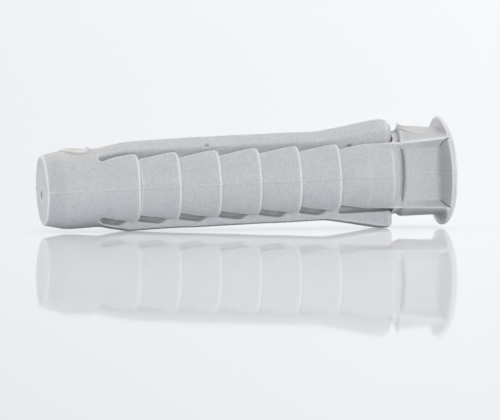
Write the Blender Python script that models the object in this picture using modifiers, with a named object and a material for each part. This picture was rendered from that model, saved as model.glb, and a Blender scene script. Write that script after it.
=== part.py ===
"""Universal nylon wall plug, 10 x 50 mm: a flanged neck, two toothed legs that bow, a nose and two locking tongues.

The plug lies along X with its nose towards -X. The origin is on its axis, in the wall plane under the flange.
"""

import math

import bmesh
import bpy
from mathutils import Vector

MM = 0.001

# Driving dimensions: lengths along the plug
FLANGE_THICKNESS = 0.7 * MM
NECK_LENGTH = 5.9 * MM
SHOULDER_PITCH = 7.7 * MM
TOOTH_PITCH = 5.03 * MM
TEETH_PER_LEG = 5
NOSE_LENGTH = 6.42 * MM
NOSE_LAND = 0.5 * MM
FILM_GAP = 0.3 * MM
TONGUE_END_GAP = 0.5 * MM

# Driving dimensions: flange and neck
FLANGE_RADIUS = 6.78 * MM
FLANGE_EDGE = 0.15 * MM
NECK_RADIUS = 5.45 * MM
NECK_CHAMFER_LENGTH = 0.55 * MM
NECK_CHAMFER_DEPTH = 1.0 * MM
BORE_RADIUS = 3.0 * MM
BORE_ENTRY_CHAMFER = 0.5 * MM
POCKET_WALL = 0.6 * MM
POCKET_HALF_HEIGHT = 3.25 * MM
POCKET_SIDE_ANGLE = math.radians(65)
POCKET_RIM = 1.0 * MM

# Driving dimensions: legs and nose
SHOULDER_RADIUS = 5.1 * MM
SHOULDER_CHAMFER = 0.8 * MM
SHOULDER_STRAIGHT = 3.9 * MM
TOOTH_RADIUS = 5.05 * MM
TOOTH_STEP = 0.45 * MM
TOOTH_EDGE = 0.2 * MM
PLATE_INSIDE = 2.85 * MM
WEB_HALF_HEIGHT = 1.5 * MM
SPLIT_HALF_GAP = 0.35 * MM
LEG_BORE_START = 2.6 * MM
LEG_BORE_END = 1.2 * MM
LEG_BORE_TAPER = 14.0 * MM
NOSE_ROOT_RADIUS = 4.73 * MM
NOSE_BELLY_RADIUS = 4.9 * MM
NOSE_BELLY_FROM_TIP = 3.0 * MM
NOSE_TIP_RADIUS = 4.35 * MM
NOSE_EDGE = 0.25 * MM
NOSE_HOLE_RADIUS = 0.5 * MM

# Driving dimensions: locking tongues
TONGUE_SIDE_GAP = 0.3 * MM
TONGUE_RADIUS = 5.4 * MM
TONGUE_RAMP = 3.7 * MM
TONGUE_FLARE_RADIUS = 6.68 * MM
TONGUE_FLARE_LENGTH = 6.9 * MM
TONGUE_TIP_LENGTH = 1.6 * MM
TONGUE_TIP_ROUND = 1.2 * MM
TONGUE_CROWN = 4.0 * MM
TONGUE_SIDE_BOTTOM = 4.35 * MM
TONGUE_LEAST_SIDE = 0.05 * MM
TONGUE_INSIDE = 3.3 * MM
TONGUE_INSIDE_HALF_WIDTH = 1.7 * MM

# Film hinges: distance of each bending line from the plug's axis
ROOT_FILM_RADIUS = BORE_RADIUS + POCKET_WALL / 2
LEG_FILM_RADIUS = 3.0 * MM
TONGUE_FILM_RADIUS = 4.0 * MM

# Mesh fineness
ROUND_STEPS = 48
FILLET_STEPS = 5
CROWN_STEPS = 8

# Light grey nylon
NYLON_COLOUR = (0.55, 0.57, 0.60, 1.0)
NYLON_ROUGHNESS = 0.45

# Places along X that the pieces share
NECK_END = -NECK_LENGTH
SHOULDER_START = NECK_END - FILM_GAP
FIRST_TOOTH = NECK_END - SHOULDER_PITCH
NOSE_TOOTH = FIRST_TOOTH - TEETH_PER_LEG * TOOTH_PITCH
NOSE_START = NOSE_TOOTH - TOOTH_PITCH
NOSE_TIP = NOSE_START - NOSE_LENGTH
CHANNEL_END = NOSE_START + NOSE_LAND
TONGUE_START = CHANNEL_END + FILM_GAP
TONGUE_END = NECK_END - TONGUE_END_GAP
TONGUE_HALF_WIDTH = PLATE_INSIDE - TONGUE_SIDE_GAP
OUTSIDE = 2 * FLANGE_RADIUS

ALONG_X = (0, math.pi / 2, 0)
SECTION_ACROSS_X = (math.pi / 2, 0, math.pi / 2)
HALF_TURN_ABOUT_X = (math.pi, 0, 0)


def clear_scene():
    for existing in list(bpy.data.objects):
        bpy.data.objects.remove(existing)


def new_collection(name):
    collection = bpy.data.collections.new(name)
    bpy.context.scene.collection.children.link(collection)
    return collection


def nylon(name):
    material = bpy.data.materials.new(name + "_nylon")
    material.use_nodes = True
    shader = material.node_tree.nodes["Principled BSDF"]
    shader.inputs["Base Color"].default_value = NYLON_COLOUR
    shader.inputs["Roughness"].default_value = NYLON_ROUGHNESS
    shader.inputs["Metallic"].default_value = 0.0
    return material


def place(name, mesh, collection, rotation=(0, 0, 0)):
    piece = bpy.data.objects.new(name, mesh)
    piece.rotation_euler = rotation
    collection.objects.link(piece)
    return piece


def as_cutter(piece):
    piece.hide_render = True
    piece.display_type = "WIRE"
    return piece


def arc(centre, radius, start, end, steps):
    """Points of an arc in degrees, as (across, along) pairs, both ends included."""
    points = []
    for step in range(steps + 1):
        angle = math.radians(start + (end - start) * step / steps)
        points.append((centre[0] + radius * math.cos(angle), centre[1] + radius * math.sin(angle)))
    return points


def turned(name, profile, collection):
    """A closed (radius, x) profile turned round the plug's axis: outside from +X to -X, then back inside."""
    form = bmesh.new()
    corners = [form.verts.new((radius, 0, along)) for radius, along in profile]
    for first, second in zip(corners, corners[1:] + corners[:1]):
        form.edges.new((first, second))
    mesh = bpy.data.meshes.new(name)
    form.to_mesh(mesh)
    form.free()
    piece = place(name, mesh, collection, ALONG_X)
    screw = piece.modifiers.new("turn", "SCREW")
    screw.steps = ROUND_STEPS
    screw.render_steps = ROUND_STEPS
    screw.use_merge_vertices = True
    screw.merge_threshold = 0.00001
    return piece


def prism(name, outline, start, end, collection, turn=0):
    """A (y, z) outline drawn out along X from start to end, turned about X."""
    curve = bpy.data.curves.new(name, "CURVE")
    curve.dimensions = "2D"
    curve.fill_mode = "BOTH"
    curve.extrude = abs(end - start) / 2
    spline = curve.splines.new("POLY")
    spline.points.add(len(outline) - 1)
    for point, (across, up) in zip(spline.points, outline):
        point.co = (across, up, 0, 1)
    spline.use_cyclic_u = True
    drawn = place(name + "_outline", curve, collection, SECTION_ACROSS_X)
    drawn.location.x = (start + end) / 2
    bpy.context.view_layer.update()
    mesh = bpy.data.meshes.new_from_object(drawn.evaluated_get(bpy.context.evaluated_depsgraph_get()))
    form = bmesh.new()
    form.from_mesh(mesh)
    bmesh.ops.remove_doubles(form, verts=form.verts, dist=0.000001)
    bmesh.ops.recalc_face_normals(form, faces=form.faces)
    form.to_mesh(mesh)
    form.free()
    piece = place(name, mesh, collection)
    piece.matrix_world = drawn.matrix_world
    piece.rotation_euler.rotate_axis("Z", turn)
    bpy.data.objects.remove(drawn)
    return as_cutter(piece)


def boolean(piece, other, operation):
    modifier = piece.modifiers.new(other.name, "BOOLEAN")
    modifier.operation = operation
    modifier.object = other


def finish(piece, pivot=None):
    """Gives a piece its material and smooth shading, and hangs it on the empty at its film hinge."""
    piece.data.materials.append(nylon(piece.name))
    piece.data.shade_smooth()
    piece.data.set_sharp_from_angle(angle=math.radians(30))
    if pivot:
        piece.parent = pivot
        piece.location = -Vector(pivot["world"])


def pivot_at(name, position, collection, parent=None):
    """An empty on a film hinge's bending line."""
    empty = bpy.data.objects.new(name + "_hinge", None)
    empty.empty_display_size = FLANGE_RADIUS
    empty["world"] = position
    empty.location = position
    if parent:
        empty.parent = parent
        empty.location = Vector(position) - Vector(parent["world"])
    collection.objects.link(empty)
    return empty


def leg_bore(along):
    """Radius of the tapered screw bore between the legs."""
    share = min(1.0, max(0.0, (NECK_END - along) / LEG_BORE_TAPER))
    return LEG_BORE_START + (LEG_BORE_END - LEG_BORE_START) * share


def bore_wall(start, end):
    """Inside of a leg piece's profile, from -X to +X, with a point where the bore's taper ends."""
    taper_end = NECK_END - LEG_BORE_TAPER
    places = [end]
    if end < taper_end < start:
        places.append(taper_end)
    places.append(start)
    return [(leg_bore(along), along) for along in places]


def tooth_profile(start, end):
    """A tooth: its big end faces the flange, with a small bevel on its edge."""
    outside = [
        (TOOTH_RADIUS - TOOTH_EDGE, start),
        (TOOTH_RADIUS, start - TOOTH_EDGE),
        (TOOTH_RADIUS - TOOTH_STEP, end),
    ]
    return outside + bore_wall(start, end)


def shoulder_profile():
    end = FIRST_TOOTH + FILM_GAP
    outside = [
        (SHOULDER_RADIUS - SHOULDER_CHAMFER, SHOULDER_START),
        (SHOULDER_RADIUS, SHOULDER_START - SHOULDER_CHAMFER),
        (SHOULDER_RADIUS, SHOULDER_START - SHOULDER_STRAIGHT),
        (TOOTH_RADIUS - TOOTH_STEP, end),
    ]
    return outside + bore_wall(SHOULDER_START, end)


def leg_outline():
    """Section of the front leg: an outer plate beside the tongues, and a web in to the split between the legs."""
    return [
        (-SPLIT_HALF_GAP, -WEB_HALF_HEIGHT),
        (-SPLIT_HALF_GAP, WEB_HALF_HEIGHT),
        (-PLATE_INSIDE, WEB_HALF_HEIGHT),
        (-PLATE_INSIDE, OUTSIDE),
        (-OUTSIDE, OUTSIDE),
        (-OUTSIDE, -OUTSIDE),
        (-PLATE_INSIDE, -OUTSIDE),
        (-PLATE_INSIDE, -WEB_HALF_HEIGHT),
    ]


def pocket_outline():
    """Section of the front pocket: flat floor, with side faces that lean out."""
    floor = BORE_RADIUS + POCKET_WALL
    depth = OUTSIDE - floor
    spread = POCKET_HALF_HEIGHT + depth * math.tan(POCKET_SIDE_ANGLE)
    return [
        (-floor, POCKET_HALF_HEIGHT),
        (-OUTSIDE, spread),
        (-OUTSIDE, -spread),
        (-floor, -POCKET_HALF_HEIGHT),
    ]


def make_neck(parts, cutters):
    fillet = FLANGE_RADIUS - NECK_RADIUS
    outside = [
        (BORE_RADIUS + BORE_ENTRY_CHAMFER, FLANGE_THICKNESS),
        (FLANGE_RADIUS - FLANGE_EDGE, FLANGE_THICKNESS),
        (FLANGE_RADIUS, FLANGE_THICKNESS - FLANGE_EDGE),
    ]
    outside += arc((FLANGE_RADIUS, -fillet), fillet, 90, 180, FILLET_STEPS)
    outside += [
        (NECK_RADIUS, NECK_END + NECK_CHAMFER_LENGTH),
        (NECK_RADIUS - NECK_CHAMFER_DEPTH, NECK_END),
    ]
    inside = [
        (BORE_RADIUS, NECK_END),
        (BORE_RADIUS, FLANGE_THICKNESS - BORE_ENTRY_CHAMFER),
    ]
    neck = turned("flanged_neck", outside + inside, parts)
    for side, turn in (("front", 0), ("rear", math.pi)):
        pocket = prism(side + "_pocket", pocket_outline(), -POCKET_RIM, 2 * NECK_END, cutters, turn)
        boolean(neck, pocket, "DIFFERENCE")
    finish(neck)
    return neck


def rectangle(half_width, bottom, top):
    return [(-half_width, bottom), (half_width, bottom), (half_width, top), (-half_width, top)]


def make_nose(parts, cutters, pivot):
    """The solid nose and the first tooth of each leg, which the channels part from each other."""
    belly = NOSE_TIP + NOSE_BELLY_FROM_TIP
    profile = [
        (TOOTH_RADIUS - TOOTH_EDGE, NOSE_TOOTH),
        (TOOTH_RADIUS, NOSE_TOOTH - TOOTH_EDGE),
        (TOOTH_RADIUS - TOOTH_STEP, NOSE_START),
        (NOSE_ROOT_RADIUS, NOSE_START),
        (NOSE_BELLY_RADIUS, belly),
        (NOSE_TIP_RADIUS, NOSE_TIP + NOSE_EDGE),
        (NOSE_TIP_RADIUS - NOSE_EDGE, NOSE_TIP),
        (NOSE_HOLE_RADIUS, NOSE_TIP),
        (LEG_BORE_END, belly),
        (LEG_BORE_END, NOSE_TOOTH),
    ]
    nose = turned("nose_cone", profile, parts)
    channel = rectangle(PLATE_INSIDE, WEB_HALF_HEIGHT, OUTSIDE)
    split = rectangle(SPLIT_HALF_GAP, -OUTSIDE, OUTSIDE)
    for cutter in (
        prism("top_channel", channel, CHANNEL_END, NECK_END, cutters),
        prism("bottom_channel", channel, CHANNEL_END, NECK_END, cutters, math.pi),
        prism("leg_split", split, CHANNEL_END + NOSE_LAND, NECK_END, cutters),
    ):
        boolean(nose, cutter, "DIFFERENCE")
    finish(nose, pivot)


def make_leg(side, section, parts, neck_pivot):
    """A shoulder and its teeth, each hinged to the one before it."""
    outwards = {"front": -1, "rear": 1}[side]
    hinge = pivot_at(
        side + "_leg_shoulder",
        (NECK_END - FILM_GAP / 2, outwards * ROOT_FILM_RADIUS, 0),
        parts,
        neck_pivot,
    )
    shoulder = turned(side + "_leg_shoulder", shoulder_profile(), parts)
    boolean(shoulder, section, "INTERSECT")
    finish(shoulder, hinge)
    for number in range(TEETH_PER_LEG):
        name = f"{side}_leg_tooth_{number + 1}"
        start = FIRST_TOOTH - number * TOOTH_PITCH
        end = start - TOOTH_PITCH + FILM_GAP
        hinge = pivot_at(name, (start + FILM_GAP / 2, outwards * LEG_FILM_RADIUS, 0), parts, hinge)
        tooth = turned(name, tooth_profile(start, end), parts)
        boolean(tooth, section, "INTERSECT")
        finish(tooth, hinge)


def tongue_stations():
    """(x, height of the crown) along a tongue: ramp at the nose, straight length, flare and rounded free end."""
    flare_end = TONGUE_END - TONGUE_TIP_LENGTH
    round_start = TONGUE_END - TONGUE_TIP_ROUND
    stations = [
        (TONGUE_START, NOSE_ROOT_RADIUS),
        (TONGUE_START + TONGUE_RAMP, TONGUE_RADIUS),
        (flare_end - TONGUE_FLARE_LENGTH, TONGUE_RADIUS),
        (flare_end, TONGUE_FLARE_RADIUS),
    ]
    corner = (round_start, TONGUE_FLARE_RADIUS - TONGUE_TIP_ROUND)
    return stations + arc(corner, TONGUE_TIP_ROUND, 90, 0, FILLET_STEPS)


def tongue_section(along, height):
    """Points round a tongue at one station: crowned outside, upright sides that then lean in, flat inside."""
    half_angle = math.degrees(math.asin(TONGUE_HALF_WIDTH / TONGUE_CROWN))
    crown = arc((0, height - TONGUE_CROWN), TONGUE_CROWN, 90 - half_angle, 90 + half_angle, CROWN_STEPS)
    side_bottom = min(TONGUE_SIDE_BOTTOM, crown[0][1] - TONGUE_LEAST_SIDE)
    left = [(-TONGUE_HALF_WIDTH, side_bottom), (-TONGUE_INSIDE_HALF_WIDTH, TONGUE_INSIDE)]
    right = [(-across, up) for across, up in reversed(left)]
    return [(along, across, up) for across, up in crown + left + right]


def tongue_mesh():
    """A loft along the plug, closed at both ends."""
    form = bmesh.new()
    rings = []
    for along, height in tongue_stations():
        rings.append([form.verts.new(point) for point in tongue_section(along, height)])
    for ring, following in zip(rings, rings[1:]):
        for index, corner in enumerate(ring):
            before = index - 1
            form.faces.new((ring[before], corner, following[index], following[before]))
    form.faces.new(rings[0])
    form.faces.new(reversed(rings[-1]))
    bmesh.ops.recalc_face_normals(form, faces=form.faces)
    mesh = bpy.data.meshes.new("locking_tongue")
    form.to_mesh(mesh)
    form.free()
    return mesh


def make_tongues(parts, nose_pivot):
    along = (CHANNEL_END + TONGUE_START) / 2
    for side, up, turn in (("top", 1, (0, 0, 0)), ("bottom", -1, HALF_TURN_ABOUT_X)):
        name = side + "_locking_tongue"
        hinge = pivot_at(name, (along, 0, up * TONGUE_FILM_RADIUS), parts, nose_pivot)
        finish(place(name, tongue_mesh(), parts, turn), hinge)


def main():
    clear_scene()
    parts = new_collection("wall_anchor")
    cutters = new_collection("cutters")
    neck_pivot = pivot_at("neck", (0, 0, 0), parts)
    nose_pivot = pivot_at("nose", (NOSE_TOOTH, 0, 0), parts, neck_pivot)
    neck = make_neck(parts, cutters)
    neck.parent = neck_pivot
    sections = {
        "front": prism("front_leg_section", leg_outline(), NOSE_TIP, FLANGE_THICKNESS, cutters),
        "rear": prism("rear_leg_section", leg_outline(), NOSE_TIP, FLANGE_THICKNESS, cutters, math.pi),
    }
    make_nose(parts, cutters, nose_pivot)
    for side, section in sections.items():
        make_leg(side, section, parts, neck_pivot)
    make_tongues(parts, nose_pivot)


main()
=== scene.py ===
"""Looks of the nylon wall plug: every moulded length as a rounded solid, on a pale glossy floor.

Shapes are distance fields in millimetres (negative inside), meshed piece by piece in the frame of
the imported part.
"""

import math

import bmesh
import bpy
import numpy as np
import openvdb
from mathutils import Matrix, Vector

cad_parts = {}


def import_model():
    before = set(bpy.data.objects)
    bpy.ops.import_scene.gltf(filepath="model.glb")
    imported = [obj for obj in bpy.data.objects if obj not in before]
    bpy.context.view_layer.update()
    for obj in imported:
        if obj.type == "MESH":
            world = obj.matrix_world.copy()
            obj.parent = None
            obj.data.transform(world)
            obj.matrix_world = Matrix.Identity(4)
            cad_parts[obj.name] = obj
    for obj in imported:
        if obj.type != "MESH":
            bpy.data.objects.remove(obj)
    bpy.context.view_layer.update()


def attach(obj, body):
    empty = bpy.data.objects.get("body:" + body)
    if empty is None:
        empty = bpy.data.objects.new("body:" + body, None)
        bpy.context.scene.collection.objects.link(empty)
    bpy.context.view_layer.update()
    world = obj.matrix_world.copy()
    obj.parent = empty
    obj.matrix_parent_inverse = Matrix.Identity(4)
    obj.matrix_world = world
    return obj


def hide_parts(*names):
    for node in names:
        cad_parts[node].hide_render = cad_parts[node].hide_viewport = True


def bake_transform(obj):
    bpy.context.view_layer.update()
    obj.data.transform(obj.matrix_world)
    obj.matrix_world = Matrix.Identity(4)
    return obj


MM = 0.001
TINY = 1e-6
OUTWARDS = {"front": -1, "rear": 1}
UPWARDS = {"top": 1, "bottom": -1}

# Meshing: the sample step in millimetres, steps around a piece's box, samples of an eased height,
# and the tolerance of a cut in metres
VOXEL = 0.1
MARGIN_STEPS = 2.5
EASE_STEPS = 9
CUT_TOLERANCE = 1e-8

# Slow unevenness of the skin: each wave's radians per millimetre along x, y and z, and its phase
RIPPLE_HEIGHT = 0.008
RIPPLE_WAVES = [(1.1, 0.0, 0.8, 0.4), (0.7, -1.3, 0.0, 2.1), (-0.5, 0.0, 1.9, 1.2)]

# Mould parting line: a ridge on points within a share of a step of the plane, where they face outwards
# and in the pockets' end walls
RIDGE_HEIGHT = 0.08
RIDGE_STEP_SHARE = 0.2
RIDGE_FACING = 0.5
RIDGE_POCKET_START = -2

# Painted highlights on edges and painted shade in hollows, from the skin's turn in radians per
# millimetre, and patches of painted glow
BEND_PASSES = 2
FULL_BEND = 2.4
HOLLOW_SHADE_START = 0.8
EDGE_HIGHLIGHT_SHARE = {"neck": 0.1, "nose": 0.3, "top": 0.35, "bottom": 0.15}
GLOW_FALLOFF = 1.2

# Places and lengths along the plug, in millimetres from the wall plane
FLANGE_FACE = 0.55
FLANGE_BACK = -0.13
NECK_END = -5.9
SHOULDER_EDGE = -7.05
SHOULDER_STRAIGHT_END = -10.1
FIRST_TOOTH = -13.6
TOOTH_PITCH = 5.03
TEETH_PER_LEG = 5
NOSE_TOOTH = FIRST_TOOTH - TEETH_PER_LEG * TOOTH_PITCH
CHANNEL_END = -43.5
NOSE_TIP = -50.2
TONGUE_SEAM = -42.2

# Flange
FLANGE_RADIUS = 6.73
FLANGE_EDGE = 0.25
FLANGE_BACK_EDGE = 0.08
FLANGE_FILLET = {"top": 0.35, "bottom": 0.9}
FLANGE_FACE_BEND = {"top": 0.36, "bottom": 0.27}
FLANGE_BACK_BEND = {"top": 0.08, "bottom": 0.2}
FLANGE_BEND_START = 3.5
FLANGE_BEND_EASE = 0.4

# Neck
NECK_RADIUS = 5.43
NECK_CORE_RADIUS = {"top": 4.95, "bottom": 5.08}
NECK_SLEEVE_END = -5.3
NECK_SLEEVE_SWEEP = 0.035
NECK_STEP_LENGTH = {"top": 0.42, "bottom": 0.55}
NECK_OVERLAP = 0.25
NECK_BOX_REACH = 6.9
# patches of painted glow on the neck's top: centre, reaches and strength
NECK_GLOW_PATCHES = [((-3.6, 0.0, 5.5), (2.2, 4.2, 1.4), 0.45)]
CORE_END = {"top": -6.44, "bottom": -6.76}
CORE_HALF_WIDTH = 2.85
CORE_WEB_GAP = 0.2
CORE_EAR = 0.45
EAR_START = 2.0
EAR_WIDTH = 0.85
RIB_ROOT_GAP = 0.06
RIB_ROOT_DEPTH = 0.05
BORE_RADIUS = 3.0
BORE_ENTRY = 0.5
BORE_EDGE = 0.1

# Pockets in the neck's sides, with the ribs beside them and the film groove at their start
POCKET_FLOOR = 3.72
POCKET_HALF_HEIGHT = {"top": 3.28, "bottom": 3.42}
POCKET_END = -0.95
POCKET_FILLET = 0.13
POCKET_END_FILLET = 0.4
POCKET_END_FADE = 0.6
POCKET_RIM_EDGE = 0.08
POCKET_RIM_LEAST_SQUARE = 16.5
END_WALL_OVERLAP = 0.1
CREASE_RADIUS = 0.13
GROOVE_START = -5.485
GROOVE_BOW = 0.021
GROOVE_TILT = -0.027
GROOVE_FLOOR = 3.15
GROOVE_EDGE = 0.15
GROOVE_INSET = 0.15
GROOVE_END_EDGE = 0.3
GROOVE_FILLET = 0.45
RIB_OUT = [(NECK_END, 4.02), (FLANGE_BACK, 5.12)]
RIB_UP = {
    "top": [(NECK_END, 4.0), (FLANGE_BACK, 4.34)],
    "bottom": [(NECK_END, 4.03), (FLANGE_BACK, 4.22)],
}
RIB_FLARE_START = 0.35
RIB_FLARE_LEAST_UP = 0.1

# Edges of the neck that get only a little painted highlight
SOFT_RIM_TOP = -3.6
SOFT_RIM_GAP = 0.4
SOFT_PANEL_UP = 3.5
SOFT_PANEL_END = -4.6
SOFT_PANEL_OUT = 4.2

# Flash on top of the neck: a ragged fin, and a thin film with a wavy front edge
FIN_TOP = [
    (-5.65, 5.2), (-5.5, 5.6), (-5.4, 6.4), (-5.2, 6.15), (-4.95, 5.88), (-4.6, 5.78), (-4.2, 5.72),
    (-3.9, 5.76), (-3.4, 5.66), (-2.7, 5.62), (-2.1, 5.5), (-1.8, 5.52), (-1.4, 5.3),
]
FIN_HALF_WIDTH = 0.09
FIN_LEAN = -0.25
FIN_UPRIGHT = 5.4
FIN_END = -1.3
FIN_BOTTOM = 5.0
FIN_FILLET = 0.06
FILM_EDGE = [
    (-5.4, 0.4), (-5.0, 1.0), (-4.3, 2.0), (-3.6, 2.5), (-2.4, 2.75), (-1.6, 2.4), (-1.0, 2.2),
]
FILM_THICKNESS = [(-5.75, 0.0), (-5.35, 0.24), (-3.6, 0.2), (-2.2, 0.04), (-1.0, 0.0)]
FILM_EASE = 0.15
FILM_MIDDLE = -0.3
FILM_FADE = 0.16

# Legs
TOOTH_RADIUS = 5.05
TOOTH_SMALL_RADIUS = 4.6
TOOTH_TOP = 4.25
TOOTH_CORNER = 0.75
TOOTH_EDGE = 0.28
SHOULDER_RADIUS = 5.1
SHOULDER_TOP = {"top": 4.0, "bottom": 4.14}
SHOULDER_TOP_EDGE = 0.12
LAND_RADIUS = 4.58
LAND_END_RADIUS = 3.95
LAND_END = -6.33
SHOULDER_PROFILE = [
    (FIRST_TOOTH, TOOTH_SMALL_RADIUS), (SHOULDER_STRAIGHT_END, SHOULDER_RADIUS),
    (SHOULDER_EDGE, SHOULDER_RADIUS), (LAND_END, LAND_RADIUS), (NECK_END, LAND_END_RADIUS),
]
SHOULDER_EASE = 0.08
STRIP_START = -8.2
STRIP_EASE = 0.3
STRIP_FILLET = 0.6
STRIP_LEAST_FILLET = 1e-3
PLATE_INSIDE = 2.98
PLATE_BIG_INSIDE = 2.6
PLATE_EDGE = 0.13
WEB_HALF_HEIGHT = 1.5
WEB_EDGE = 0.15
WEB_FILLET = 0.3
SPLIT_HALF_GAP = 0.35
LEG_BORE = [(-20.0, 1.2), (-6.0, 2.6)]
LEG_BORE_EDGE = 0.1
LEG_BOX_OUT = (0.2, 5.3)
LEG_BOX_UP = 4.4
NOTCH_START = 3.0
NOTCH_SLOPE = 0.058

# Nose
NOSE_PROFILE = [
    (NOSE_TIP, 4.33), (-47.7, 4.84), (-46.2, 4.87), (-43.6, 4.8), (-43.0, 4.79), (NOSE_TOOTH, 5.05),
]
NOSE_TOP = [(NOSE_TIP, 4.2), (-47.7, 4.72), (-44.8, 4.78), (-43.6, 5.0)]
NOSE_TOP_EDGE = 0.15
NOSE_EASE = 0.35
NOSE_POINT = [(NOSE_TIP, 3.0), (-47.8, 0.8), (-44.0, 0.2), (-38.0, 0.05)]
NOSE_POINT_EASE = 0.3
NOSE_REAR_POINT_SHARE = 0.15
NOSE_EDGE = 0.14
NOSE_HOLE = (0.6, -0.55)
NOSE_HOLE_RADIUS = 0.62
NOSE_HOLE_DEPTH = 2.5
NOSE_PLATE_INSIDE = 3.1
NOSE_TOOTH_TOP = [(CHANNEL_END, 7.0), (-41.5, TOOTH_TOP)]
NOSE_BOX_OUT = 5.3
NOSE_BOX_UP = 5.8
# patches of painted glow on the nose's top and at the top slots' ends: centre, reaches and strength
NOSE_GLOW_PATCHES = [
    ((-46.3, 0.0, 4.8), (2.6, 4.5, 1.3), 0.45),
    ((-43.0, 0.0, 4.9), (1.2, 3.0, 0.8), 0.5),
]
SLOT_FILLET = 0.45
SLOT_EDGE = [(CHANNEL_END, 0.45), (TONGUE_SEAM, PLATE_EDGE)]
SLOT_RUN_OUT = [(CHANNEL_END, 3.5), (CHANNEL_END + 2.5, 2.0)]
SLOT_RUN_OUT_EDGE = 0.2
SLOT_SOFT_LENGTH = 1.5
SLOT_SOFT_UP = 2.5
GATE_CENTRE = -45.8
GATE_HALF_LENGTH = 1.92
GATE_HALF_WIDTH = 2.15
GATE_TOP = 4.82
GATE_BOTTOM = 4.0
GATE_SLOPE = -0.05
GATE_EDGE = 0.05
FLICK_POINTS = [(-45.2, -1.75, 4.55), (-44.4, -1.05, 4.88), (-44.5, -0.4, 5.0)]
FLICK_RADIUS = 0.14

# Locking tongues
BOTTOM_RAMP_END = (-39.85, 5.51)
BOTTOM_FLARE_END = (-8.2, 6.73)
TONGUE_PROFILE = {
    "top": [
        (-44.5, 4.74), (-43.2, 4.79), (-39.7, 5.43), (-36.0, 5.53), (-25.0, 5.6), (-19.0, 5.58),
        (-15.5, 5.52), (-8.2, 6.66), (-6.0, 6.72),
    ],
    "bottom": [
        (-44.5, 4.74), (-43.2, 4.86), BOTTOM_RAMP_END, (-37.0, 5.43), (-25.0, 5.45), (-14.9, 5.45),
        BOTTOM_FLARE_END, (-6.0, 6.77),
    ],
}
TONGUE_EASE = 0.45
TONGUE_CROWN = 8.0
TONGUE_HALF_WIDTH = 2.4
TONGUE_INSIDE = 3.3
TONGUE_INSIDE_EDGE = 0.12
TONGUE_EDGE = {"top": 0.75, "bottom": 0.18}
TONGUE_END = {"top": -6.55, "bottom": -6.87}
TONGUE_TIP_ROUND = {"top": 0.9, "bottom": 0.5}
TONGUE_LEAN = {
    "top": [(-41.0, 0.45), (-37.0, 0.18), (-16.0, 0.18), (-11.0, 0.05)],
    "bottom": [(0.0, 0.0)],
}
TONGUE_LEAN_START = 0.6
TONGUE_LEAN_HEIGHT = 1.2
TONGUE_BOX_OUT = 2.6
TONGUE_BOX_UP = (3.2, 6.8)

# Roots of the tongues on the nose: how far its skin has become a tongue, and room around them
ROOT_SHARE = [(CHANNEL_END - 0.6, 0.0), (TONGUE_SEAM - 0.2, 1.0)]
ROOT_SHARE_EASE = 0.2
ROOT_START_EDGE = 0.3
ROOT_OVERLAP = 0.4
ROOT_SIDE_ROOM = 0.08
ROOT_INSIDE_ROOM = 0.1

# Recesses in the bottom tongue's sides
RECESS_LENGTH = 3.45
RECESS_HALF_WIDTH = [(0.0, 1.4), (1.0, 1.4), (RECESS_LENGTH, 1.9)]
RECESS_EDGE = [(0.0, 4.13), (RECESS_LENGTH, 4.72)]
RECESS_END_TOP = 4.06
RECESS_END_SLOPE = 1.6
RECESS_END_DRAFT = 0.8
RECESS_END_ROUND = 0.25
RECESS_FLOOR_ROUND = 0.4
RECESS_RIM_ROUND = 0.25
RECESS_RIM = -5.0
SHOULDER_RECESS_EDGE = 4.48
SHOULDER_RECESS_HALF_WIDTH = 1.4

# Blemishes on the top tongue: each one's place and radius
SPECK_STRETCH = 1.3
TONGUE_PITS = [
    (-29.98, -2.28, 4.69, 0.23), (-12.05, -2.3, 3.72, 0.24), (-32.2, -1.0, 5.5, 0.12),
    (-31.3, -1.1, 5.5, 0.14), (-30.7, -0.9, 5.51, 0.12),
]
TONGUE_FLECKS = [
    (-32.4, -0.45, 5.53, 0.15), (-31.6, -0.5, 5.55, 0.19), (-31.0, -0.4, 5.52, 0.15),
    (-30.5, -0.5, 5.55, 0.17),
]

# Nylon: settings by the names of the shader's sockets, and colour stops by their positions
GRAIN = {"Scale": 4000, "Detail": 3, "Roughness": 0.6}
GRAIN_STOPS = [(0.3, (0.502, 0.51, 0.53, 1)), (0.7, (0.622, 0.627, 0.642, 1))]
MOTTLE = {"Scale": 700, "Detail": 5, "Roughness": 0.65}
MOTTLE_STOPS = [(0.3, (0.93, 0.935, 0.945, 1)), (0.7, (1.0, 1.0, 1.0, 1))]
# Tints of painted light and shade on the nylon, each by the name of what a mesh stores at its points
LIGHT_AND_SHADE_TINTS = [
    # painted highlight on edges
    ("edge", (0.79, 0.79, 0.795, 1)),
    # painted glow, pale and faintly yellow
    ("painted_glow", (0.74, 0.73, 0.68, 1)),
    # painted shade in hollows and creases
    ("hollow_shade", (0.42, 0.43, 0.455, 1)),
]
NYLON_GLOSS = {"To Min": 0.4, "To Max": 0.6}
NYLON_BUMP = {"Strength": 0.9, "Distance": 0.00006}
NYLON_BODY = {
    "IOR": 1.53,
    "Subsurface Weight": 0.5,
    "Subsurface Radius": (1.0, 1.0, 1.0),
    "Subsurface Scale": 0.8 * MM,
}

# Camera as in the photograph; it sees things between two distances in metres
IMAGE_WIDTH = 500
CAMERA_DISTANCE = 650 * MM
PIXELS_PER_MM = 8.12
VIEW_YAW = math.radians(12.5)
VIEW_ELEVATION = math.radians(3.2)
PLUG_ROLL = math.radians(1.1)
AIM_POINT = Vector((-24.3, 0, -3.72)) * MM
SENSOR_WIDTH = 36.0
CLIP_START = 0.01
CLIP_END = 20

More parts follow.
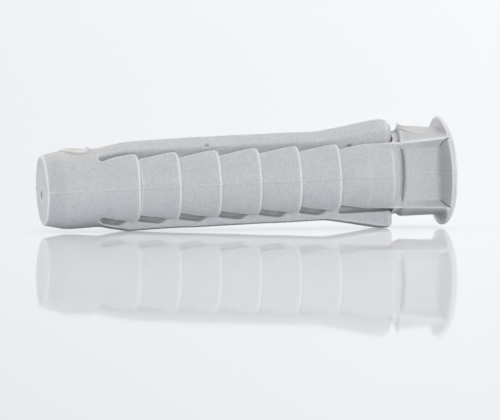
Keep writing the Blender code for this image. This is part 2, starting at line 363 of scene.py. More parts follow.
# Floor, which the plug touches at the bottom tongue's ramp and near the end of its flare; its size and
# the depths of its tones are in metres
RAMP_TOUCH = Vector((BOTTOM_RAMP_END[0], 0, -BOTTOM_RAMP_END[1] + 0.02)) * MM
FLARE_TOUCH = Vector((BOTTOM_FLARE_END[0] + 0.6, 0, -BOTTOM_FLARE_END[1] - 0.02)) * MM
FLOOR_HALF_SIZE = 4.0
FLOOR_SEGMENTS = 8
# painted light on the sheet: darker near the camera, brighter far off and towards the flange's side
FLOOR_DEPTH = {"From Min": -0.3, "From Max": 2.4}
FLOOR_DEPTH_STOPS = [
    (0.0, (0.82, 0.84, 0.87, 1)),
    (0.11, (0.955, 0.96, 0.985, 1)),
    (1.0, (0.99, 1.0, 1.0, 1)),
]
FLOOR_NEAREST = 0.5 * CAMERA_DISTANCE
FLOOR_SLANT = {"From Min": -0.045, "From Max": 0.06}
FLOOR_SLANT_STOPS = [(0.0, (0.86, 0.865, 0.88, 1)), (1.0, (1.0, 1.0, 1.0, 1))]
FLOOR_GLOW = 0.6
MIRROR = {"Color": (0.98, 0.985, 1.0, 1), "Roughness": 0.03}
MIRROR_FACING = {"Blend": 0.5}
MIRROR_SHARE = {"From Min": 0.5, "To Min": 0.05, "To Max": 0.48}

# Light all round, the background, and the lamps: name, direction towards the lamp, strength, spread in
# degrees and colour
WORLD_LIGHT = {"Color": (0.95, 0.975, 1.0, 1), "Strength": 0.39}
WORLD_SEEN = {"Color": (0.965, 0.98, 0.995, 1), "Strength": 1.0}
SUNS = [
    ("top_light", (0.25, 0.1, 1.0), 1.15, 80, (1.0, 0.965, 0.9)),
    ("front_light", (0.25, -1.0, 0.05), 1.75, 30, (0.97, 0.985, 1.0)),
    ("rear_light", (-1.0, 0.55, 0.25), 1.15, 40, (1.0, 1.0, 1.0)),
]


def round_cut(first, second, radius):
    """What two fields share, with its edge rounded."""
    over_first = np.maximum(first + radius, 0)
    over_second = np.maximum(second + radius, 0)
    return np.minimum(np.maximum(first, second), -radius) + np.sqrt(over_first**2 + over_second**2)


def round_join(first, second, radius):
    """Two fields together, with the corner between them filleted."""
    return -round_cut(-first, -second, radius)


def along(x, points, ease=0.0):
    """A height that follows points along the plug, its corners eased over a length."""
    places, heights = zip(*sorted(points))
    steps = np.linspace(-ease, ease, EASE_STEPS) if ease else [0.0]
    return sum(np.interp(x + step, places, heights) for step in steps) / len(steps)


def by_side(z, sizes, x=None):
    """A size that differs between the top and the bottom, or one that also changes along the plug."""
    top, bottom = sizes["top"], sizes["bottom"]
    if x is not None:
        top, bottom = along(x, top), along(x, bottom)
    return np.where(z > 0, top, bottom)


def ripple(x, y, z):
    """Slow unevenness of the moulded skin."""
    waves = (np.sin(a * x + b * y + c * z + phase) for a, b, c, phase in RIPPLE_WAVES)
    return RIPPLE_HEIGHT * sum(waves)


def lattice(low, high):
    """Sample places of a box: the first of them in steps, and x, y and z.

    They lie half a step off the parting plane, so that a row of the mesh's points lies in it.
    """
    first = [math.floor(value / VOXEL) - MARGIN_STEPS for value in low]
    last = [math.ceil(value / VOXEL) + MARGIN_STEPS for value in high]
    axes = [np.arange(a, b + 1) * VOXEL for a, b in zip(first, last)]
    return first, np.meshgrid(*axes, indexing="ij", sparse=True)


def raise_parting_line(mesh):
    """Lifts the row of points in the parting plane on the front and rear into a fine ridge."""
    for point in mesh.vertices:
        in_plane = abs(point.co.z) < RIDGE_STEP_SHARE * VOXEL * MM
        outwards = point.normal.y * point.co.y > RIDGE_FACING * abs(point.co.y)
        in_pocket = point.normal.x < -RIDGE_FACING and point.co.x > RIDGE_POCKET_START * MM
        if in_plane and (outwards or in_pocket):
            point.co += RIDGE_HEIGHT * MM * point.normal


def vectors_of(mesh, name):
    """One vector for each of a mesh's points."""
    values = np.empty(len(mesh.vertices) * 3)
    mesh.vertices.foreach_get(name, values)
    return values.reshape(-1, 3)


def store(mesh, name, values):
    """Stores one value for each of a mesh's points, for the material."""
    stored = mesh.attributes.new(name, "FLOAT", "POINT")
    stored.data.foreach_set("value", values.astype(np.float32))


def mark_edge_highlights_and_hollow_shade(mesh):
    """Stores how sharply the skin turns out or in at each point, for painted highlights on edges and
    painted shade in hollows.
    """
    count = len(mesh.vertices)
    places = vectors_of(mesh, "co") / MM
    normals = vectors_of(mesh, "normal")
    ends = np.empty(len(mesh.edges) * 2, dtype=np.int64)
    mesh.edges.foreach_get("vertices", ends)
    first, second = ends.reshape(-1, 2).T
    reach = places[second] - places[first]
    turn = ((normals[second] - normals[first]) * reach).sum(1) / np.maximum((reach**2).sum(1), TINY)
    degree = np.maximum(np.bincount(first, minlength=count) + np.bincount(second, minlength=count), 1)
    bend = (np.bincount(first, turn, count) + np.bincount(second, turn, count)) / degree
    for _ in range(BEND_PASSES):
        around = np.bincount(first, bend[second], count) + np.bincount(second, bend[first], count)
        bend = 0.5 * bend + 0.5 * around / degree
    # painted highlight where the skin turns out, painted shade where it turns in
    for name, amount in (("edge", bend), ("hollow_shade", -bend - HOLLOW_SHADE_START)):
        store(mesh, name, np.clip(amount / FULL_BEND, 0, 1))


def dim_edge_highlights(mesh, near, share):
    """Keeps only a share of the painted highlight on edges near some place."""
    values = np.empty(len(mesh.vertices), dtype=np.float32)
    mesh.attributes["edge"].data.foreach_get("value", values)
    values[near(*vectors_of(mesh, "co").T / MM)] *= share
    mesh.attributes["edge"].data.foreach_set("value", values)


def painted_glow(mesh, patches):
    """Stores where the skin gets a painted glow, paler and faintly yellow, standing in for light
    through thin plastic.

    The patches are oval, each with a centre, its reaches and a strength.
    """
    axes = vectors_of(mesh, "co").T / MM
    values = np.zeros(len(mesh.vertices))
    for centre, reaches, strength in patches:
        away = sum(((axis - c) / reach) ** 2 for axis, c, reach in zip(axes, centre, reaches))
        values = np.maximum(values, strength * np.exp(-GLOW_FALLOFF * away))
    store(mesh, "painted_glow", values)


def mesh_of(name, low, high, field):
    """The zero surface of a field, in metres."""
    first, (x, y, z) = lattice(low, high)
    values = np.broadcast_to(field(x, y, z), np.broadcast_shapes(x.shape, y.shape, z.shape))
    grid = openvdb.FloatGrid(1.0)
    grid.copyFromArray(np.ascontiguousarray(values, dtype=np.float32))
    points, quads = grid.convertToQuads(0.0)
    mesh = bpy.data.meshes.new(name)
    mesh.from_pydata((points + np.array(first)) * VOXEL * MM, [], quads.tolist())
    mesh.shade_smooth()
    raise_parting_line(mesh)
    mark_edge_highlights_and_hollow_shade(mesh)
    return mesh


def everywhere(centre):
    return True


def trim(mesh, place, kept, zone=everywhere):
    """Cuts a mesh at a plane across the plug and closes the cut; only faces in the zone are cut."""
    form = bmesh.new()
    form.from_mesh(mesh)
    faces = [face for face in form.faces if zone(face.calc_center_median() / MM)]
    edges = dict.fromkeys(edge for face in faces for edge in face.edges)
    points = dict.fromkeys(point for face in faces for point in face.verts)
    cut = bmesh.ops.bisect_plane(
        form,
        geom=[*faces, *edges, *points],
        dist=CUT_TOLERANCE,
        plane_co=(place * MM, 0, 0),
        plane_no=(-kept, 0, 0),
        clear_outer=True,
    )
    rim = [item for item in cut["geom_cut"] if isinstance(item, bmesh.types.BMEdge)]
    bmesh.ops.triangle_fill(form, edges=rim, use_beauty=True, normal=(-kept, 0, 0))
    for edge in rim:
        edge.smooth = False
    bmesh.ops.recalc_face_normals(form, faces=form.faces)
    form.to_mesh(mesh)
    form.free()


def placed(name, data):
    """A new object in the scene."""
    thing = bpy.data.objects.new(name, data)
    bpy.context.scene.collection.objects.link(thing)
    return thing


def piece_of(name, mesh, material):
    """One piece of the plug."""
    mesh.materials.append(material)
    piece = placed(name, mesh)
    return piece


def leg_inside(x, out, up, radius, plate):
    """Inside of a leg: a plate beside the tongues, a web in to the split, and the screw bore."""
    web = round_cut(up - WEB_HALF_HEIGHT, SPLIT_HALF_GAP - out, WEB_EDGE)
    section = round_join(plate - out, web, WEB_FILLET)
    return round_cut(section, along(x, LEG_BORE) - radius, LEG_BORE_EDGE)


def plate_inside(x, start, small=PLATE_INSIDE):
    """Inner wall of a tooth's plate, which thickens towards the tooth's big end."""
    return along(x, [(start - TOOTH_PITCH, small), (start, PLATE_BIG_INSIDE)])


def tooth_field(x, out, z, start, radii):
    """One tooth: a cone whose big end faces the flange."""
    up = np.abs(z)
    radius = np.hypot(out, z)
    skin = radius - along(x, radii) - ripple(x, out, z)
    end = round_cut(x - start, up - TOOTH_TOP, TOOTH_CORNER)
    body = round_cut(skin, end, TOOTH_EDGE)
    return round_cut(body, leg_inside(x, out, up, radius, plate_inside(x, start)), PLATE_EDGE)


def notch_field(x, out, end):
    """Room at the foot of a leg's last tooth, which tilts against the nose when the legs bow."""
    return end + NOTCH_SLOPE * np.maximum(out - NOTCH_START, 0) - x


def leg_box(side, start, end):
    """Two corners of the box around a length of a leg."""
    least, most = sorted(OUTWARDS[side] * reach for reach in LEG_BOX_OUT)
    return (end, least, -LEG_BOX_UP), (start, most, LEG_BOX_UP)


def make_tooth(side, number, material):
    outwards = OUTWARDS[side]
    start = FIRST_TOOTH - (number - 1) * TOOTH_PITCH
    end = start - TOOTH_PITCH
    radii = [(end, TOOTH_SMALL_RADIUS), (start, TOOTH_RADIUS)]
    name = f"{side}_leg_tooth_{number}_skin"

    def field(x, y, z):
        tooth = tooth_field(x, outwards * y, z, start, radii)
        if number == TEETH_PER_LEG:
            tooth = np.maximum(tooth, notch_field(x, outwards * y, end))
        return tooth

    mesh = mesh_of(name, *leg_box(side, start, end), field)
    trim(mesh, end, 1)
    return piece_of(name, mesh, material)


def pocket_side(x, out, z):
    """How far a place lies inside the pocket's side wall, which leans out from panel to rib."""
    height = by_side(z, POCKET_HALF_HEIGHT)
    spread = (by_side(z, RIB_UP, x) - height) / (along(x, RIB_OUT) - POCKET_FLOOR)
    return (np.abs(z) - height - (out - POCKET_FLOOR) * spread) / np.hypot(1, spread)


def pocket_end(x, out, z):
    """How far a place lies past the pocket's end wall, which leans out to the flange's round rim."""
    rim = np.sqrt(np.maximum(FLANGE_RADIUS**2 - z**2, POCKET_RIM_LEAST_SQUARE))
    share = np.clip((out - POCKET_FLOOR) / (rim - POCKET_FLOOR), 0, 1)
    return x - POCKET_END - share * (FLANGE_BACK - POCKET_END)


def groove_field(x, out, z):
    """Space of the bowed film groove at the pocket's start."""
    bowed = x - GROOVE_START + GROOVE_BOW * z**2 + GROOVE_TILT * z
    groove = round_cut(GROOVE_FLOOR - out, bowed, GROOVE_EDGE)
    ends = np.abs(z) - by_side(z, POCKET_HALF_HEIGHT) + GROOVE_INSET
    return round_cut(groove, ends, GROOVE_END_EDGE)


def pocket_field(x, out, z):
    """Space of the pocket in the neck's side, with the film groove."""
    inset = np.clip((by_side(z, POCKET_HALF_HEIGHT) - np.abs(z)) / POCKET_END_FADE, 0, 1)
    pocket = round_cut(POCKET_FLOOR - out, pocket_side(x, out, z), POCKET_FILLET)
    end_fillet = POCKET_FILLET + inset * (POCKET_END_FILLET - POCKET_FILLET)
    pocket = round_cut(pocket, pocket_end(x, out, z), end_fillet)
    return round_join(pocket, groove_field(x, out, z), GROOVE_FILLET)


def pocket_crease(x, out, z):
    """Fine groove in the corner between the pocket's side and end walls."""
    corner = np.hypot(pocket_side(x, out, z), pocket_end(x, out, z))
    return np.maximum(corner - CREASE_RADIUS, POCKET_FLOOR - out)


def rib_flare(x, out, z):
    """How far the neck's skin stands out beside the pocket; it fades to the neck's top and bottom."""
    rib_out, rib_up = along(x, RIB_OUT), by_side(z, RIB_UP, x)
    lean = out / np.maximum(np.abs(z), RIB_FLARE_LEAST_UP)
    share = np.clip((lean - RIB_FLARE_START) / (rib_out / rib_up - RIB_FLARE_START), 0, 1)
    return (np.hypot(rib_out, rib_up) - NECK_RADIUS) * share * share * (3 - 2 * share)


def shoulder_field(x, out, z):
    """A leg's smooth first length, whose skin goes over into the pocket's side walls."""
    up = np.abs(z)
    radius = np.hypot(out, z)
    skin = radius - along(x, SHOULDER_PROFILE, SHOULDER_EASE) - ripple(x, out, z)
    share = along(x, [(STRIP_START, 0.0), (NECK_END, 1.0)], STRIP_EASE)
    strip = (1 - share) * (radius - SHOULDER_RADIUS) - share * pocket_side(x, out, z)
    joined = round_join(skin, strip, STRIP_FILLET * share + STRIP_LEAST_FILLET)
    body = np.where(x > STRIP_START, joined, skin)
    body = round_cut(body, up - by_side(z, SHOULDER_TOP), SHOULDER_TOP_EDGE)
    return round_cut(body, leg_inside(x, out, up, radius, PLATE_INSIDE), PLATE_EDGE)


def make_shoulder(side, material):
    name = f"{side}_leg_shoulder_skin"

    def field(x, y, z):
        return shoulder_field(x, OUTWARDS[side] * y, z)

    mesh = mesh_of(name, *leg_box(side, NECK_END, FIRST_TOOTH), field)
    trim(mesh, FIRST_TOOTH, 1)
    trim(mesh, NECK_END, -1)
    return piece_of(name, mesh, material)


def flash_fin(x, y, z):
    """Ragged fin of flash left along the top of the neck."""
    lean = FIN_LEAN * (z - FIN_UPRIGHT)
    sides = np.maximum(np.abs(y - lean) - FIN_HALF_WIDTH, x - FIN_END)
    return np.maximum(sides, np.maximum(z - along(x, FIN_TOP), FIN_BOTTOM - z))


def flash_film(x, y, z):
    """Thickness of the thin film of flash that lies over the neck's top."""
    edge = along(x, FILM_EDGE, FILM_EASE)
    thickness = along(x, FILM_THICKNESS, FILM_EASE)
    inside = np.clip((edge - np.abs(y - FILM_MIDDLE)) / FILM_FADE, 0, 1)
    return np.where(z > 0, thickness * inside, 0.0)


def neck_tube(x, y, z):
    """Outer skin of the neck: a sleeve whose top and bottom step down to the core between the legs."""
    radius = np.hypot(y, z)
    sleeve_end = NECK_SLEEVE_END - NECK_SLEEVE_SWEEP * y**2
    step = np.clip((sleeve_end - x) / by_side(z, NECK_STEP_LENGTH), 0, 1)
    drop = NECK_RADIUS - by_side(z, NECK_CORE_RADIUS)
    sleeve = NECK_RADIUS - drop * step * step * (3 - 2 * step)
    rib = np.where(x > NECK_END - NECK_OVERLAP, rib_flare(x, np.abs(y), z), 0.0)
    return radius - sleeve - flash_film(x, y, z) - rib


def flange_bend(z, bend):
    """How far the flange's top and bottom are bent back towards the nose."""
    share = along(np.abs(z), [(FLANGE_BEND_START, 0.0), (FLANGE_RADIUS, 1.0)], FLANGE_BEND_EASE)
    return by_side(z, bend) * share


def pocketed_neck(x, y, z):
    """Neck and the flange's back, with the pockets in their sides."""
    out = np.abs(y)
    tube = neck_tube(x, y, z) - ripple(x, y, z)
    flange = FLANGE_BACK - x - flange_bend(z, FLANGE_BACK_BEND)
    solid = round_join(flange, tube, by_side(z, FLANGE_FILLET))
    solid = round_cut(solid, -pocket_field(x, out, z), POCKET_RIM_EDGE)
    end_wall = np.maximum(-pocket_end(x, out, z), pocket_side(x, out, z) - END_WALL_OVERLAP)
    return np.maximum(np.minimum(solid, end_wall), -pocket_crease(x, out, z))


def bored_neck(x, y, z):
    """The same with the flange's rim and face, and the screw bore."""
    radius = np.hypot(y, z)
    face = x + flange_bend(z, FLANGE_FACE_BEND) - FLANGE_FACE
    solid = round_cut(pocketed_neck(x, y, z), radius - FLANGE_RADIUS, FLANGE_BACK_EDGE)
    solid = round_cut(solid, face, FLANGE_EDGE)
    entry = BORE_RADIUS + np.maximum(x - FLANGE_FACE + BORE_ENTRY, 0)
    return round_cut(solid, entry - radius, BORE_EDGE)


def neck_end(solid, x, y, z):
    """The neck's end beyond its seam: the core between the legs, and the ribs' roots inside them."""
    out = np.abs(y)
    up = np.abs(z)
    ear = np.clip((out - EAR_START) / EAR_WIDTH, 0, 1)
    core_end = by_side(z, CORE_END) - CORE_EAR * np.where(z > 0, ear**2, 0.0)
    core = np.maximum(WEB_HALF_HEIGHT + CORE_WEB_GAP - up, core_end - x)
    core = np.maximum(out - CORE_HALF_WIDTH, core)
    root = np.maximum(up - by_side(z, SHOULDER_TOP) + RIB_ROOT_GAP, NECK_END - NECK_OVERLAP - x)
    root = np.maximum(np.maximum(root, PLATE_INSIDE + RIB_ROOT_GAP - out), solid + RIB_ROOT_DEPTH)
    return np.where(x < NECK_END, np.minimum(np.maximum(solid, core), root), solid)


def neck_field(x, y, z):
    """The whole flanged neck with its flash."""
    solid = neck_end(bored_neck(x, y, z), x, y, z)
    return round_join(solid, flash_fin(x, y, z), FIN_FILLET)


def at_dim_edge_highlight(x, y, z):
    """The pocket's lower rim and the panel's edge at the groove, which get only a little painted
    highlight.
    """
    along_rim = (x > NECK_END - NECK_OVERLAP) & (x < FLANGE_BACK - SOFT_RIM_GAP)
    on_panel = (np.abs(z) < SOFT_PANEL_UP) & (np.abs(y) < SOFT_PANEL_OUT)
    return ((z < SOFT_RIM_TOP) & along_rim) | (on_panel & (x < SOFT_PANEL_END))


def make_neck(material):
    low = (CORE_END["top"] - CORE_EAR, -NECK_BOX_REACH, -NECK_BOX_REACH)
    high = (FLANGE_FACE, NECK_BOX_REACH, NECK_BOX_REACH)
    mesh = mesh_of("flanged_neck_skin", low, high, neck_field)
    dim_edge_highlights(mesh, at_dim_edge_highlight, EDGE_HIGHLIGHT_SHARE["neck"])
    painted_glow(mesh, NECK_GLOW_PATCHES)
    return piece_of("flanged_neck_skin", mesh, material)


def recess_field(x, y, up):
    """Space of the recesses in the bottom tongue's sides.

    There is one under each tooth and a long one under the shoulder.
    """
    place = np.mod(x - FIRST_TOOTH, TOOTH_PITCH)
    floor = along(place, RECESS_HALF_WIDTH)
    slope = RECESS_END_SLOPE * (up - RECESS_END_TOP)
    lean = slope + RECESS_END_DRAFT * (TONGUE_HALF_WIDTH - np.abs(y))
    end = (place - RECESS_LENGTH + lean) / np.hypot(1, RECESS_END_SLOPE)
    recess = round_cut(up - along(place, RECESS_EDGE), end, RECESS_END_ROUND)
    recess = round_cut(floor - np.abs(y), recess, RECESS_FLOOR_ROUND)
    shoulder_floor = SHOULDER_RECESS_HALF_WIDTH - np.abs(y)
    shoulder = round_cut(shoulder_floor, up - SHOULDER_RECESS_EDGE, RECESS_FLOOR_ROUND)
    return np.where(x > FIRST_TOOTH, np.minimum(recess, shoulder), recess)


def tongue_sides(side, x, y, up):
    """A tongue's section below its crown: the top one's sides lean, the bottom one's have recesses."""
    apex = along(x, TONGUE_PROFILE[side], TONGUE_EASE)
    depth = np.clip(apex - TONGUE_LEAN_START - up, 0, TONGUE_LEAN_HEIGHT)
    sides = np.abs(y) - TONGUE_HALF_WIDTH + along(x, TONGUE_LEAN[side]) * depth
    sides = round_cut(sides, TONGUE_INSIDE - up, TONGUE_INSIDE_EDGE)
    if side == "bottom":
        sides = round_cut(sides, -recess_field(x, y, up), RECESS_RIM_ROUND)
    return sides


def tongue_crown(side, x, y, up):
    """A tongue's crowned outside."""
    apex = along(x, TONGUE_PROFILE[side], TONGUE_EASE) + ripple(x, y, up)
    return np.hypot(y, up - apex + TONGUE_CROWN) - TONGUE_CROWN


def speck(x, y, z, mark):
    """A small oval blemish, given by its place and radius."""
    place, across, high, radius = mark
    return np.sqrt(((x - place) / SPECK_STRETCH) ** 2 + (y - across) ** 2 + (z - high) ** 2) - radius


def tongue_field(side, x, y, up):
    """One locking tongue, the top one with its blemishes."""
    body = round_cut(tongue_crown(side, x, y, up), tongue_sides(side, x, y, up), TONGUE_EDGE[side])
    body = round_cut(body, x - TONGUE_END[side], TONGUE_TIP_ROUND[side])
    if side == "top":
        for mark in TONGUE_PITS:
            body = np.maximum(body, -speck(x, y, up, mark))
        for mark in TONGUE_FLECKS:
            body = np.minimum(body, speck(x, y, up, mark))
    return body


def before_tip(x, y, z):
    return x < TONGUE_END["top"] - TONGUE_TIP_ROUND["top"]


def at_recess(x, y, z):
    return z > RECESS_RIM


def make_tongue(side, material):
    upwards = UPWARDS[side]
    name = f"{side}_locking_tongue_skin"
    bottom, top = sorted(upwards * reach for reach in TONGUE_BOX_UP)

    def field(x, y, z):
        return tongue_field(side, x, y, upwards * z)

    low = (TONGUE_SEAM, -TONGUE_BOX_OUT, bottom)
    high = (TONGUE_END[side], TONGUE_BOX_OUT, top)
    mesh = mesh_of(name, low, high, field)
    if side == "top":
        dim_edge_highlights(mesh, before_tip, EDGE_HIGHLIGHT_SHARE[side])
        painted_glow(mesh, NOSE_GLOW_PATCHES)
    else:
        dim_edge_highlights(mesh, at_recess, EDGE_HIGHLIGHT_SHARE[side])
    trim(mesh, TONGUE_SEAM, 1)
    return piece_of(name, mesh, material)


def pointed_round(x, y, z, radius):
    """A round section that comes to a point at the parting plane, more so near the tip and in front."""
    point = along(x, NOSE_POINT, NOSE_POINT_EASE) * np.where(y < 0, 1.0, NOSE_REAR_POINT_SHARE)
    far = radius + point
    squeeze = np.sqrt(far**2 - point**2) / radius
    across = y * squeeze
    high = np.abs(z) + point
    length = np.hypot(across, high)
    return (length - far) * length / np.maximum(np.hypot(across * squeeze, high), TINY)


def bead(x, y, z, start, end, radius):
    """A round-ended bead between two places."""
    reach = [b - a for a, b in zip(start, end)]
    away = [axis - a for axis, a in zip((x, y, z), start)]
    share = np.clip(sum(a * r for a, r in zip(away, reach)) / sum(r * r for r in reach), 0, 1)
    return np.sqrt(sum((a - share * r) ** 2 for a, r in zip(away, reach))) - radius


def gate_scar(body, x, y, z):
    """The nose with the flat oval scar of the cut gate on its top, and a flick of plastic there."""
    from_centre = np.hypot((x - GATE_CENTRE) / GATE_HALF_LENGTH, y / GATE_HALF_WIDTH)
    oval = GATE_HALF_LENGTH * (from_centre - 1)
    top = z - GATE_TOP - GATE_SLOPE * (x - GATE_CENTRE)
    body = np.maximum(body, -np.maximum(oval, -top))
    disc = round_cut(oval, np.maximum(top, GATE_BOTTOM - z), GATE_EDGE)
    body = np.minimum(body, disc)
    for start, end in zip(FLICK_POINTS, FLICK_POINTS[1:]):
        body = np.minimum(body, bead(x, y, z, start, end, FLICK_RADIUS))
    return body


def nose_skin(x, y, z):
    """The nose's outside with its flat tip and the gate's scar."""
    skin = pointed_round(x, y, z, along(x, NOSE_PROFILE, NOSE_EASE)) - ripple(x, y, z)
    skin = round_cut(skin, z - along(x, NOSE_TOP, NOSE_EASE), NOSE_TOP_EDGE)
    skin = round_cut(skin, NOSE_TIP - x, NOSE_EDGE)
    return gate_scar(skin, x, y, z)


def nose_slot(x, z, between):
    """Space between a tooth and a tongue's root, which ends in the nose; the top ones run out."""
    slot = round_cut(between, CHANNEL_END - x, SLOT_FILLET)
    run_out = round_cut(slot, along(x, SLOT_RUN_OUT) - np.abs(z), SLOT_RUN_OUT_EDGE)
    return np.where(z > 0, run_out, slot)


def nose_hole(x, y, z):
    """Space of the blind hole in the nose's tip."""
    hole = np.hypot(y - NOSE_HOLE[0], z - NOSE_HOLE[1]) - NOSE_HOLE_RADIUS
    return np.maximum(hole, x - NOSE_TIP - NOSE_HOLE_DEPTH)


def nose_field(x, y, z):
    """Solid nose that parts into the first teeth and the roots of the tongues."""
    up = np.abs(z)
    skin = nose_skin(x, y, z)
    tooth_end = round_cut(x - NOSE_TOOTH, up - along(x, NOSE_TOOTH_TOP), TOOTH_CORNER)
    tooth_skin = round_cut(skin, tooth_end, TOOTH_EDGE)
    plate = plate_inside(x, NOSE_TOOTH, NOSE_PLATE_INSIDE)
    leg = leg_inside(x, np.abs(y), up, np.hypot(y, z), plate)
    sides = np.where(z > 0, tongue_sides("top", x, y, up), tongue_sides("bottom", x, y, up))
    crown = np.where(z > 0, tongue_crown("top", x, y, up), tongue_crown("bottom", x, y, up))
    share = along(x, ROOT_SHARE, ROOT_SHARE_EASE)
    root_skin = (1 - share) * skin + share * crown
    root_skin = np.maximum(root_skin, x - TONGUE_SEAM - ROOT_OVERLAP)
    root_edge = share * by_side(z, TONGUE_EDGE) + (1 - share) * ROOT_START_EDGE
    on_root = sides < leg
    outside = np.where(on_root, root_skin, tooth_skin)
    slot = nose_slot(x, z, np.maximum(-leg, -sides))
    body = round_cut(outside, -slot, np.where(on_root, root_edge, along(x, SLOT_EDGE)))
    return np.maximum(body, -nose_hole(x, y, z))


def on_tongue_root(centre):
    """Whether a point of the nose near its tongues' seams lies on a tongue rather than on a tooth."""
    between = abs(centre.y) < TONGUE_HALF_WIDTH + ROOT_SIDE_ROOM
    outside = abs(centre.z) > TONGUE_INSIDE - ROOT_INSIDE_ROOM
    return centre.x > CHANNEL_END and between and outside


def at_slot_end(x, y, z):
    return (np.abs(x - CHANNEL_END) < SLOT_SOFT_LENGTH) & (np.abs(z) > SLOT_SOFT_UP)


def make_nose(material):
    low = (NOSE_TIP, -NOSE_BOX_OUT, -NOSE_BOX_UP)
    high = (NOSE_TOOTH, NOSE_BOX_OUT, NOSE_BOX_UP)
    mesh = mesh_of("nose_cone_skin", low, high, nose_field)
    dim_edge_highlights(mesh, at_slot_end, EDGE_HIGHLIGHT_SHARE["nose"])
    painted_glow(mesh, NOSE_GLOW_PATCHES)
    trim(mesh, TONGUE_SEAM, -1, on_tongue_root)
    return piece_of("nose_cone_skin", mesh, material)


def set_sockets(node, values):
    """Sets constants on a node's own sockets, by their names."""
    for name, value in values.items():
        node.inputs[name].default_value = value


def noise(tree, place, settings):
    """Noise at a place of the object."""
    texture = tree.nodes.new("ShaderNodeTexNoise")
    set_sockets(texture, settings)
    tree.links.new(place, texture.inputs["Vector"])
    return texture.outputs["Fac"]


def remap(tree, value, limits):
    """A value stretched from one range to another."""
    stretch = tree.nodes.new("ShaderNodeMapRange")
    set_sockets(stretch, limits)
    tree.links.new(value, stretch.inputs["Value"])
    return stretch.outputs["Result"]


def calculate(tree, operation, first, second):
    """Two values put together; the second one may be a plain number."""
    result = tree.nodes.new("ShaderNodeMath")
    result.operation = operation
    tree.links.new(first, result.inputs[0])
    if isinstance(second, float):
        result.inputs[1].default_value = second
    else:
        tree.links.new(second, result.inputs[1])
    return result.outputs["Value"]


def length_along(tree, place, direction):
    """How far a place lies along a direction."""
    length = tree.nodes.new("ShaderNodeVectorMath")
    length.operation = "DOT_PRODUCT"
    length.inputs[1].default_value = direction
    tree.links.new(place, length.inputs[0])
    return length.outputs["Value"]


def ramp(tree, value, stops):
    """Colour that follows a value through two or more stops."""
    colours = tree.nodes.new("ShaderNodeValToRGB")
    elements = colours.color_ramp.elements
    for element, (position, colour) in zip(elements, (stops[0], stops[-1])):
        element.position = position
        element.color = colour
    for position, colour in stops[1:-1]:
        elements.new(position).color = colour
    tree.links.new(value, colours.inputs["Fac"])
    return colours.outputs["Color"]


def product(tree, first, second):
    """One colour times another."""
    both = tree.nodes.new("ShaderNodeMix")
    both.data_type = "RGBA"
    both.blend_type = "MULTIPLY"
    both.inputs["Factor"].default_value = 1.0
    tree.links.new(first, both.inputs["A"])
    tree.links.new(second, both.inputs["B"])
    return both.outputs["Result"]


def tinted(tree, colour, attribute, tint):
    """A colour that goes over to a tint by what a mesh stores at its points."""
    amount = tree.nodes.new("ShaderNodeAttribute")
    amount.attribute_name = attribute
    both = tree.nodes.new("ShaderNodeMix")
    both.data_type = "RGBA"
    both.inputs["B"].default_value = tint
    tree.links.new(amount.outputs["Fac"], both.inputs["Factor"])
    tree.links.new(colour, both.inputs["A"])
    return both.outputs["Result"]


def mixed(tree, share, first, second):
    """Two shaders mixed, with a share of the second."""
    both = tree.nodes.new("ShaderNodeMixShader")
    tree.links.new(share, both.inputs["Fac"])
    tree.links.new(first, both.inputs[1])
    tree.links.new(second, both.inputs[2])
    return both.outputs["Shader"]


def nylon():
    """Light grey polyamide with a fine grain, painted highlights on its edges, patches of painted glow
    and painted shade in its hollows.
    """
    material = bpy.data.materials.new("grey_nylon")
    material.use_nodes = True
    tree = material.node_tree
    shader = tree.nodes["Principled BSDF"]
    set_sockets(shader, NYLON_BODY)
    place = tree.nodes.new("ShaderNodeTexCoord").outputs["Object"]
    grain = noise(tree, place, GRAIN)
    mottle = noise(tree, place, MOTTLE)
    colour = product(tree, ramp(tree, grain, GRAIN_STOPS), ramp(tree, mottle, MOTTLE_STOPS))
    for attribute, tint in LIGHT_AND_SHADE_TINTS:
        colour = tinted(tree, colour, attribute, tint)
    tree.links.new(colour, shader.inputs["Base Color"])
    tree.links.new(remap(tree, grain, NYLON_GLOSS), shader.inputs["Roughness"])
    bump = tree.nodes.new("ShaderNodeBump")
    set_sockets(bump, NYLON_BUMP)
    tree.links.new(grain, bump.inputs["Height"])
    tree.links.new(bump.outputs["Normal"], shader.inputs["Normal"])
    return material


def painted_floor_light(tree):
    """Painted light on the sheet: brighter with distance, and from the nose's side to the flange's
    side.
    """
    place = tree.nodes.new("ShaderNodeTexCoord").outputs["Object"]
    back = length_along(tree, place, (math.sin(VIEW_YAW), math.cos(VIEW_YAW), 0))
    aside = length_along(tree, place, (math.cos(VIEW_YAW), -math.sin(VIEW_YAW), 0))
    far = ramp(tree, remap(tree, back, FLOOR_DEPTH), FLOOR_DEPTH_STOPS)
    from_camera = calculate(tree, "ADD", back, CAMERA_DISTANCE)
    ahead = calculate(tree, "MAXIMUM", from_camera, FLOOR_NEAREST)
    slant = calculate(tree, "DIVIDE", aside, ahead)
    near = ramp(tree, remap(tree, slant, FLOOR_SLANT), FLOOR_SLANT_STOPS)
    return product(tree, far, near)


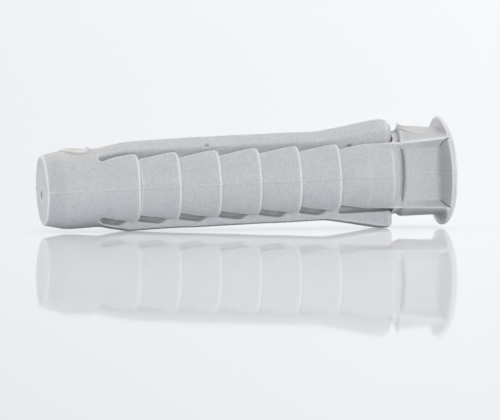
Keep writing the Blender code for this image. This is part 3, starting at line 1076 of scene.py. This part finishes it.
def floor_surface():
    """Pale glossy sheet: it shows the plug's shadow and about half of its mirror image; for the camera,
    a share of it glows with painted light.
    """
    material = bpy.data.materials.new("pale_sheet")
    material.use_nodes = True
    tree = material.node_tree
    tree.nodes.remove(tree.nodes["Principled BSDF"])
    colour = painted_floor_light(tree)
    matte = tree.nodes.new("ShaderNodeBsdfDiffuse")
    glow = tree.nodes.new("ShaderNodeEmission")
    for node in (matte, glow):
        tree.links.new(colour, node.inputs["Color"])
    path = tree.nodes.new("ShaderNodeLightPath")
    seen = calculate(tree, "MULTIPLY", path.outputs["Is Camera Ray"], FLOOR_GLOW)
    pale = mixed(tree, seen, matte.outputs["BSDF"], glow.outputs["Emission"])
    mirror = tree.nodes.new("ShaderNodeBsdfGlossy")
    set_sockets(mirror, MIRROR)
    facing = tree.nodes.new("ShaderNodeLayerWeight")
    set_sockets(facing, MIRROR_FACING)
    share = remap(tree, facing.outputs["Facing"], MIRROR_SHARE)
    surface = mixed(tree, share, pale, mirror.outputs["BSDF"])
    tree.links.new(surface, tree.nodes["Material Output"].inputs["Surface"])
    return material


def rest_frame():
    """How the plug lies: a point of the floor, and the floor's along, across and up directions."""
    ahead = (FLARE_TOUCH - RAMP_TOUCH).normalized()
    rolled = Vector((0, math.cos(PLUG_ROLL), -math.sin(PLUG_ROLL)))
    up = ahead.cross(rolled).normalized()
    return RAMP_TOUCH, ahead, up.cross(ahead), up


def turned_to(x_axis, y_axis, z_axis):
    """Rotation whose axes point in three directions."""
    return Matrix((x_axis, y_axis, z_axis)).transposed().to_4x4()


def make_floor():
    point, ahead, across, up = rest_frame()
    mesh = bpy.data.meshes.new("floor")
    form = bmesh.new()
    bmesh.ops.create_grid(
        form,
        x_segments=FLOOR_SEGMENTS,
        y_segments=FLOOR_SEGMENTS,
        size=FLOOR_HALF_SIZE,
    )
    form.to_mesh(mesh)
    form.free()
    mesh.materials.append(floor_surface())
    floor = placed("floor", mesh)
    floor.matrix_world = Matrix.Translation(point) @ turned_to(ahead, across, up)


def make_camera():
    _, ahead, across, up = rest_frame()
    level = -math.sin(VIEW_YAW) * ahead - math.cos(VIEW_YAW) * across
    towards = math.cos(VIEW_ELEVATION) * level + math.sin(VIEW_ELEVATION) * up
    data = bpy.data.cameras.new("camera")
    data.sensor_width = SENSOR_WIDTH
    data.lens = SENSOR_WIDTH * CAMERA_DISTANCE / (IMAGE_WIDTH / PIXELS_PER_MM * MM)
    data.clip_start = CLIP_START
    data.clip_end = CLIP_END
    right = up.cross(towards).normalized()
    turn = turned_to(right, towards.cross(right), towards)
    camera = placed("camera", data)
    camera.matrix_world = Matrix.Translation(AIM_POINT + CAMERA_DISTANCE * towards) @ turn
    bpy.context.scene.camera = camera


def make_sun(name, direction, energy, spread, colour):
    data = bpy.data.lights.new(name, "SUN")
    data.energy = energy
    data.angle = math.radians(spread)
    data.color = colour
    lamp = placed(name, data)
    lamp.rotation_euler = Vector(direction).to_track_quat("Z", "Y").to_euler()


def make_world():
    """Soft cool light all round; the camera and mirror images see the pale background instead."""
    world = bpy.data.worlds.new("studio")
    bpy.context.scene.world = world
    world.use_nodes = True
    tree = world.node_tree
    light = tree.nodes["Background"]
    set_sockets(light, WORLD_LIGHT)
    seen = tree.nodes.new("ShaderNodeBackground")
    set_sockets(seen, WORLD_SEEN)
    rays = tree.nodes.new("ShaderNodeLightPath").outputs
    direct = calculate(tree, "MAXIMUM", rays["Is Camera Ray"], rays["Is Glossy Ray"])
    through = calculate(tree, "MAXIMUM", direct, rays["Is Transmission Ray"])
    either = mixed(tree, through, light.outputs["Background"], seen.outputs["Background"])
    tree.links.new(either, tree.nodes["World Output"].inputs["Surface"])


def make_legs(material):
    numbers = range(1, TEETH_PER_LEG + 1)
    for side in OUTWARDS:
        bodies = ["flanged_neck", f"{side}_leg_shoulder"]
        bodies += [f"{side}_leg_tooth_{number}" for number in numbers]
        pieces = [make_shoulder(side, material)]
        pieces += [make_tooth(side, number, material) for number in numbers]
        seams = [NECK_END] + [FIRST_TOOTH - number * TOOTH_PITCH for number in range(TEETH_PER_LEG)]
        for piece, before, body, seam in zip(pieces, bodies, bodies[1:], seams):
            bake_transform(piece)
            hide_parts(body)


def make_tongues(material):
    for side in UPWARDS:
        body = f"{side}_locking_tongue"
        piece = make_tongue(side, material)
        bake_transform(piece)
        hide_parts(body)


def make_plug():
    material = nylon()
    for piece, body in ((make_neck(material), "flanged_neck"), (make_nose(material), "nose_cone")):
        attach(piece, body)
        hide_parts(body)
    make_legs(material)
    make_tongues(material)


def main():
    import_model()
    bpy.context.scene.view_settings.view_transform = "Standard"
    make_plug()
    make_floor()
    make_camera()
    make_world()
    for sun in SUNS:
        make_sun(*sun)


main()
